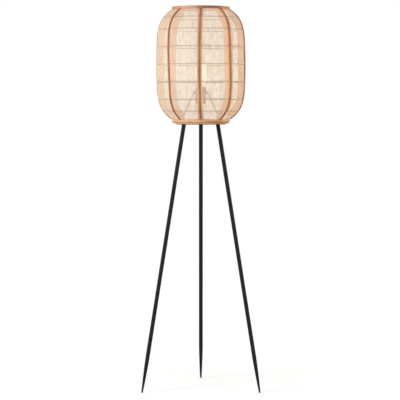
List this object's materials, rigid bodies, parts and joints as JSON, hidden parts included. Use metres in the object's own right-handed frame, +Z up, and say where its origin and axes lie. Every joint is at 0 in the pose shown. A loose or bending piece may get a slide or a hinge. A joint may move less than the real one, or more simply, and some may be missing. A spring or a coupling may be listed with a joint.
{
  "type": "rattan floor lamp",
  "caption": "Floor lamp with a barrel shade of gauze over bent ribs and thin rattan hoops, on slender splayed steel tripod legs, with a screw lampholder and bulb inside.",
  "frame": {"origin": "on the floor, under the middle of the lamp's outline; the lamp's own upright axis stands at x = 0, y = -0.0449 m, nearer the front because one leg reaches to the rear", "axes": "+Z up, the front of the lamp faces -Y and one leg points to +Y, +X is to the right seen from the front"},
  "size_m": [0.4638, 0.4448, 1.5],
  "materials": {
    "linen": "open woven natural gauze, glued over the frame, lit from inside",
    "rattan_strip": "half-round split rattan, mid brown, satin",
    "thin_rattan": "thin round rattan, brown, matt",
    "rib_wood": "pale bent wood with straight grain, unvarnished",
    "hoop_wood": "bent rattan strip, honey brown, satin",
    "base_wood": "pale turned wood, matt",
    "black_steel": "fine powder coat, black, satin",
    "rubber": "matt black",
    "zinc": "zinc plated",
    "brass": "bright",
    "holder_plastic": "moulded thermoset, mid brown, satin",
    "ceramic": "white, unglazed",
    "opal_glass": "white inner coating, lit from inside",
    "glass": "clear",
    "filament": "glowing warm white"
  },
  "bodies": {
    "lamp": {"top_hoop_outer": "hoop_wood", "top_hoop_inner": "hoop_wood", "bottom_hoop_outer": "hoop_wood", "bottom_hoop_inner": "hoop_wood", "linen_cover": "linen", "rib_front": "rib_wood", "rib_front_right": "rib_wood", "rib_right": "rib_wood", "rib_back_right": "rib_wood", "rib_back": "rib_wood", "rib_back_left": "rib_wood", "rib_left": "rib_wood", "rib_front_left": "rib_wood", "rib_strip_front": "rattan_strip", "rib_strip_front_right": "rattan_strip", "rib_strip_right": "rattan_strip", "rib_strip_back_right": "rattan_strip", "rib_strip_back": "rattan_strip", "rib_strip_back_left": "rattan_strip", "rib_strip_left": "rattan_strip", "rib_strip_front_left": "rattan_strip", "thin_hoop_1": "thin_rattan", "thin_hoop_2": "thin_rattan", "thin_hoop_3": "thin_rattan", "thin_hoop_4": "thin_rattan", "thin_hoop_5": "thin_rattan", "thin_hoop_6": "thin_rattan", "thin_hoop_7": "thin_rattan", "base_ring": "base_wood", "leg_front_left_bush": "zinc", "leg_front_right_bush": "zinc", "leg_rear_bush": "zinc", "spider_wire_front_left": "black_steel", "spider_wire_front_right": "black_steel", "spider_wire_rear": "black_steel", "spider_ring": "black_steel", "holder_skirt": "holder_plastic", "holder_cap": "holder_plastic", "holder_core": "ceramic", "holder_screw_shell": "brass", "holder_contact": "brass", "cable_gland": "holder_plastic"},
    "ring_nut": {"holder_ring_nut": "holder_plastic"},
    "bulb": {"bulb_cap": "brass", "bulb_glass": "opal_glass", "bulb_stem": "glass", "bulb_filament": "filament"},
    "leg_front_left": {"leg_front_left_tube": "black_steel", "leg_front_left_stud": "zinc", "leg_front_left_pad": "rubber"},
    "leg_front_right": {"leg_front_right_tube": "black_steel", "leg_front_right_stud": "zinc", "leg_front_right_pad": "rubber"},
    "leg_rear": {"leg_rear_tube": "black_steel", "leg_rear_stud": "zinc", "leg_rear_pad": "rubber"}
  },
  "joints": [
    {"name": "bulb_turn", "type": "hinge", "parent": "lamp", "child": "bulb", "pos_m": [0, -0.0449, 1.159], "axis": [0, 0, 1], "range_deg": [0, 900]},
    {"name": "ring_nut_turn", "type": "hinge", "parent": "lamp", "child": "ring_nut", "pos_m": [0, -0.0449, 1.168], "axis": [0, 0, 1], "range_deg": [0, 1800]},
    {"name": "leg_front_left_turn", "type": "hinge", "parent": "lamp", "child": "leg_front_left", "pos_m": [-0.22863, -0.17691, 0], "axis": [-0.1537, -0.0887, -0.9841], "range_deg": [0, 1800]},
    {"name": "leg_front_right_turn", "type": "hinge", "parent": "lamp", "child": "leg_front_right", "pos_m": [0.22863, -0.17691, 0], "axis": [0.1537, -0.0887, -0.9841], "range_deg": [0, 1800]},
    {"name": "leg_rear_turn", "type": "hinge", "parent": "lamp", "child": "leg_rear", "pos_m": [0, 0.2191, 0], "axis": [0, 0.1774, -0.9841], "range_deg": [0, 1800]}
  ]
}
